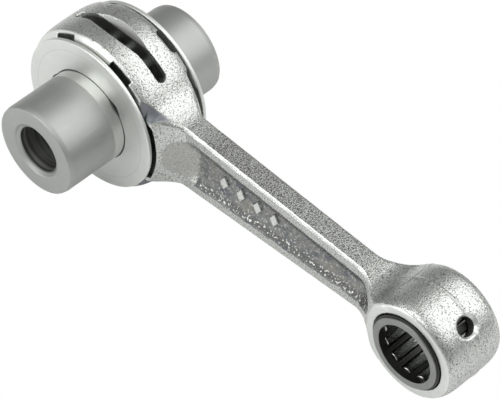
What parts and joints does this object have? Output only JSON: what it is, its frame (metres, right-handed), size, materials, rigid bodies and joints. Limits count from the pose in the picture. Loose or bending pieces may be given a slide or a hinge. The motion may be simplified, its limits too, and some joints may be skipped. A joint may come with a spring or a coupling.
{
  "type": "connecting rod",
  "caption": "Forged I-beam connecting rod with a hollow crank pin, caged roller big end with thrust washers and a caged needle small end.",
  "frame": {"origin": "centre of the whole kit's bounding box, midway between the outer ends of the two rod ends and at mid-length of the crank pin", "axes": "+X from the crank pin to the small end, +Y along the crank pin, +Z across the shank's height"},
  "size_m": [0.1144, 0.0418, 0.0364],
  "materials": {
    "forged_steel": "shot-blasted forging with machined end faces",
    "ground_pin_steel": "ground satin",
    "washer_steel": "fine matt, lightly lapped",
    "cage_steel": "dark satin",
    "roller_steel": "polished"
  },
  "bodies": {
    "rod": {"connecting_rod": "forged_steel"},
    "crank_pin": {"crank_pin": "ground_pin_steel"},
    "thrust_washer_near": {"thrust_washer_near": "washer_steel"},
    "thrust_washer_far": {"thrust_washer_far": "washer_steel"},
    "big_end_cage": {"big_end_cage": "cage_steel"},
    "big_end_roller_01": {"big_end_roller_01": "roller_steel"},
    "big_end_roller_02": {"big_end_roller_02": "roller_steel"},
    "big_end_roller_03": {"big_end_roller_03": "roller_steel"},
    "big_end_roller_04": {"big_end_roller_04": "roller_steel"},
    "big_end_roller_05": {"big_end_roller_05": "roller_steel"},
    "big_end_roller_06": {"big_end_roller_06": "roller_steel"},
    "big_end_roller_07": {"big_end_roller_07": "roller_steel"},
    "big_end_roller_08": {"big_end_roller_08": "roller_steel"},
    "big_end_roller_09": {"big_end_roller_09": "roller_steel"},
    "big_end_roller_10": {"big_end_roller_10": "roller_steel"},
    "big_end_roller_11": {"big_end_roller_11": "roller_steel"},
    "big_end_roller_12": {"big_end_roller_12": "roller_steel"},
    "big_end_roller_13": {"big_end_roller_13": "roller_steel"},
    "big_end_roller_14": {"big_end_roller_14": "roller_steel"},
    "big_end_roller_15": {"big_end_roller_15": "roller_steel"},
    "big_end_roller_16": {"big_end_roller_16": "roller_steel"},
    "small_end_cage": {"small_end_cage": "cage_steel"},
    "small_end_needle_01": {"small_end_needle_01": "roller_steel"},
    "small_end_needle_02": {"small_end_needle_02": "roller_steel"},
    "small_end_needle_03": {"small_end_needle_03": "roller_steel"},
    "small_end_needle_04": {"small_end_needle_04": "roller_steel"},
    "small_end_needle_05": {"small_end_needle_05": "roller_steel"},
    "small_end_needle_06": {"small_end_needle_06": "roller_steel"},
    "small_end_needle_07": {"small_end_needle_07": "roller_steel"},
    "small_end_needle_08": {"small_end_needle_08": "roller_steel"},
    "small_end_needle_09": {"small_end_needle_09": "roller_steel"},
    "small_end_needle_10": {"small_end_needle_10": "roller_steel"},
    "small_end_needle_11": {"small_end_needle_11": "roller_steel"},
    "small_end_needle_12": {"small_end_needle_12": "roller_steel"}
  },
  "joints": [
    {"name": "crank_pin_spin", "type": "hinge", "parent": "rod", "child": "crank_pin", "pos_m": [-0.0389, 0, 0], "axis": [0, 1, 0], "continuous": true},
    {"name": "thrust_washer_near_spin", "type": "hinge", "parent": "rod", "child": "thrust_washer_near", "pos_m": [-0.0389, -0.00545, 0], "axis": [0, 1, 0], "continuous": true},
    {"name": "thrust_washer_far_spin", "type": "hinge", "parent": "rod", "child": "thrust_washer_far", "pos_m": [-0.0389, 0.00865, 0], "axis": [0, 1, 0], "continuous": true},
    {"name": "big_end_cage_spin", "type": "hinge", "parent": "rod", "child": "big_end_cage", "pos_m": [-0.0389, 0.0016, 0], "axis": [0, 1, 0], "continuous": true},
    {"name": "big_end_roller_01_spin", "type": "hinge", "parent": "big_end_cage", "child": "big_end_roller_01", "pos_m": [-0.02739, 0.0016, -0.0006], "axis": [0, 1, 0], "continuous": true},
    {"name": "big_end_roller_02_spin", "type": "hinge", "parent": "big_end_cage", "child": "big_end_roller_02", "pos_m": [-0.02803, 0.0016, 0.00385], "axis": [0, 1, 0], "continuous": true},
    {"name": "big_end_roller_03_spin", "type": "hinge", "parent": "big_end_cage", "child": "big_end_roller_03", "pos_m": [-0.03033, 0.0016, 0.00771], "axis": [0, 1, 0], "continuous": true},
    {"name": "big_end_roller_04_spin", "type": "hinge", "parent": "big_end_cage", "child": "big_end_roller_04", "pos_m": [-0.03394, 0.0016, 0.01041], "axis": [0, 1, 0], "continuous": true},
    {"name": "big_end_roller_05_spin", "type": "hinge", "parent": "big_end_cage", "child": "big_end_roller_05", "pos_m": [-0.0383, 0.0016, 0.01151], "axis": [0, 1, 0], "continuous": true},
    {"name": "big_end_roller_06_spin", "type": "hinge", "parent": "big_end_cage", "child": "big_end_roller_06", "pos_m": [-0.04275, 0.0016, 0.01087], "axis": [0, 1, 0], "continuous": true},
    {"name": "big_end_roller_07_spin", "type": "hinge", "parent": "big_end_cage", "child": "big_end_roller_07", "pos_m": [-0.04661, 0.0016, 0.00857], "axis": [0, 1, 0], "continuous": true},
    {"name": "big_end_roller_08_spin", "type": "hinge", "parent": "big_end_cage", "child": "big_end_roller_08", "pos_m": [-0.04931, 0.0016, 0.00496], "axis": [0, 1, 0], "continuous": true},
    {"name": "big_end_roller_09_spin", "type": "hinge", "parent": "big_end_cage", "child": "big_end_roller_09", "pos_m": [-0.05041, 0.0016, 0.0006], "axis": [0, 1, 0], "continuous": true},
    {"name": "big_end_roller_10_spin", "type": "hinge", "parent": "big_end_cage", "child": "big_end_roller_10", "pos_m": [-0.04977, 0.0016, -0.00385], "axis": [0, 1, 0], "continuous": true},
    {"name": "big_end_roller_11_spin", "type": "hinge", "parent": "big_end_cage", "child": "big_end_roller_11", "pos_m": [-0.04747, 0.0016, -0.00771], "axis": [0, 1, 0], "continuous": true},
    {"name": "big_end_roller_12_spin", "type": "hinge", "parent": "big_end_cage", "child": "big_end_roller_12", "pos_m": [-0.04386, 0.0016, -0.01041], "axis": [0, 1, 0], "continuous": true},
    {"name": "big_end_roller_13_spin", "type": "hinge", "parent": "big_end_cage", "child": "big_end_roller_13", "pos_m": [-0.0395, 0.0016, -0.01151], "axis": [0, 1, 0], "continuous": true},
    {"name": "big_end_roller_14_spin", "type": "hinge", "parent": "big_end_cage", "child": "big_end_roller_14", "pos_m": [-0.03505, 0.0016, -0.01087], "axis": [0, 1, 0], "continuous": true},
    {"name": "big_end_roller_15_spin", "type": "hinge", "parent": "big_end_cage", "child": "big_end_roller_15", "pos_m": [-0.03119, 0.0016, -0.00857], "axis": [0, 1, 0], "continuous": true},
    {"name": "big_end_roller_16_spin", "type": "hinge", "parent": "big_end_cage", "child": "big_end_roller_16", "pos_m": [-0.02849, 0.0016, -0.00496], "axis": [0, 1, 0], "continuous": true},
    {"name": "small_end_cage_spin", "type": "hinge", "parent": "rod", "child": "small_end_cage", "pos_m": [0.0461, 0.00115, 0], "axis": [0, 1, 0], "continuous": true},
    {"name": "small_end_needle_01_spin", "type": "hinge", "parent": "small_end_cage", "child": "small_end_needle_01", "pos_m": [0.05335, 0.00115, -0.00036], "axis": [0, 1, 0], "continuous": true},
    {"name": "small_end_needle_02_spin", "type": "hinge", "parent": "small_end_cage", "child": "small_end_needle_02", "pos_m": [0.05256, 0.00115, 0.00332], "axis": [0, 1, 0], "continuous": true},
    {"name": "small_end_needle_03_spin", "type": "hinge", "parent": "small_end_cage", "child": "small_end_needle_03", "pos_m": [0.05003, 0.00115, 0.0061], "axis": [0, 1, 0], "continuous": true},
    {"name": "small_end_needle_04_spin", "type": "hinge", "parent": "small_end_cage", "child": "small_end_needle_04", "pos_m": [0.04646, 0.00115, 0.00725], "axis": [0, 1, 0], "continuous": true},
    {"name": "small_end_needle_05_spin", "type": "hinge", "parent": "small_end_cage", "child": "small_end_needle_05", "pos_m": [0.04278, 0.00115, 0.00646], "axis": [0, 1, 0], "continuous": true},
    {"name": "small_end_needle_06_spin", "type": "hinge", "parent": "small_end_cage", "child": "small_end_needle_06", "pos_m": [0.04, 0.00115, 0.00393], "axis": [0, 1, 0], "continuous": true},
    {"name": "small_end_needle_07_spin", "type": "hinge", "parent": "small_end_cage", "child": "small_end_needle_07", "pos_m": [0.03885, 0.00115, 0.00036], "axis": [0, 1, 0], "continuous": true},
    {"name": "small_end_needle_08_spin", "type": "hinge", "parent": "small_end_cage", "child": "small_end_needle_08", "pos_m": [0.03964, 0.00115, -0.00332], "axis": [0, 1, 0], "continuous": true},
    {"name": "small_end_needle_09_spin", "type": "hinge", "parent": "small_end_cage", "child": "small_end_needle_09", "pos_m": [0.04217, 0.00115, -0.0061], "axis": [0, 1, 0], "continuous": true},
    {"name": "small_end_needle_10_spin", "type": "hinge", "parent": "small_end_cage", "child": "small_end_needle_10", "pos_m": [0.04575, 0.00115, -0.00725], "axis": [0, 1, 0], "continuous": true},
    {"name": "small_end_needle_11_spin", "type": "hinge", "parent": "small_end_cage", "child": "small_end_needle_11", "pos_m": [0.04942, 0.00115, -0.00646], "axis": [0, 1, 0], "continuous": true},
    {"name": "small_end_needle_12_spin", "type": "hinge", "parent": "small_end_cage", "child": "small_end_needle_12", "pos_m": [0.0522, 0.00115, -0.00393], "axis": [0, 1, 0], "continuous": true}
  ],
  "couplings": [
    {"joint": "big_end_cage_spin", "follows": "crank_pin_spin", "ratio": 0.43495},
    {"joint": "big_end_roller_01_spin", "follows": "crank_pin_spin", "ratio": -3.7783},
    {"joint": "big_end_roller_02_spin", "follows": "crank_pin_spin", "ratio": -3.7783},
    {"joint": "big_end_roller_03_spin", "follows": "crank_pin_spin", "ratio": -3.7783},
    {"joint": "big_end_roller_04_spin", "follows": "crank_pin_spin", "ratio": -3.7783},
    {"joint": "big_end_roller_05_spin", "follows": "crank_pin_spin", "ratio": -3.7783},
    {"joint": "big_end_roller_06_spin", "follows": "crank_pin_spin", "ratio": -3.7783},
    {"joint": "big_end_roller_07_spin", "follows": "crank_pin_spin", "ratio": -3.7783},
    {"joint": "big_end_roller_08_spin", "follows": "crank_pin_spin", "ratio": -3.7783},
    {"joint": "big_end_roller_09_spin", "follows": "crank_pin_spin", "ratio": -3.7783},
    {"joint": "big_end_roller_10_spin", "follows": "crank_pin_spin", "ratio": -3.7783},
    {"joint": "big_end_roller_11_spin", "follows": "crank_pin_spin", "ratio": -3.7783},
    {"joint": "big_end_roller_12_spin", "follows": "crank_pin_spin", "ratio": -3.7783},
    {"joint": "big_end_roller_13_spin", "follows": "crank_pin_spin", "ratio": -3.7783},
    {"joint": "big_end_roller_14_spin", "follows": "crank_pin_spin", "ratio": -3.7783},
    {"joint": "big_end_roller_15_spin", "follows": "crank_pin_spin", "ratio": -3.7783},
    {"joint": "big_end_roller_16_spin", "follows": "crank_pin_spin", "ratio": -3.7783},
    {"joint": "small_end_needle_01_spin", "follows": "small_end_cage_spin", "ratio": -6.8548},
    {"joint": "small_end_needle_02_spin", "follows": "small_end_cage_spin", "ratio": -6.8548},
    {"joint": "small_end_needle_03_spin", "follows": "small_end_cage_spin", "ratio": -6.8548},
    {"joint": "small_end_needle_04_spin", "follows": "small_end_cage_spin", "ratio": -6.8548},
    {"joint": "small_end_needle_05_spin", "follows": "small_end_cage_spin", "ratio": -6.8548},
    {"joint": "small_end_needle_06_spin", "follows": "small_end_cage_spin", "ratio": -6.8548},
    {"joint": "small_end_needle_07_spin", "follows": "small_end_cage_spin", "ratio": -6.8548},
    {"joint": "small_end_needle_08_spin", "follows": "small_end_cage_spin", "ratio": -6.8548},
    {"joint": "small_end_needle_09_spin", "follows": "small_end_cage_spin", "ratio": -6.8548},
    {"joint": "small_end_needle_10_spin", "follows": "small_end_cage_spin", "ratio": -6.8548},
    {"joint": "small_end_needle_11_spin", "follows": "small_end_cage_spin", "ratio": -6.8548},
    {"joint": "small_end_needle_12_spin", "follows": "small_end_cage_spin", "ratio": -6.8548}
  ]
}
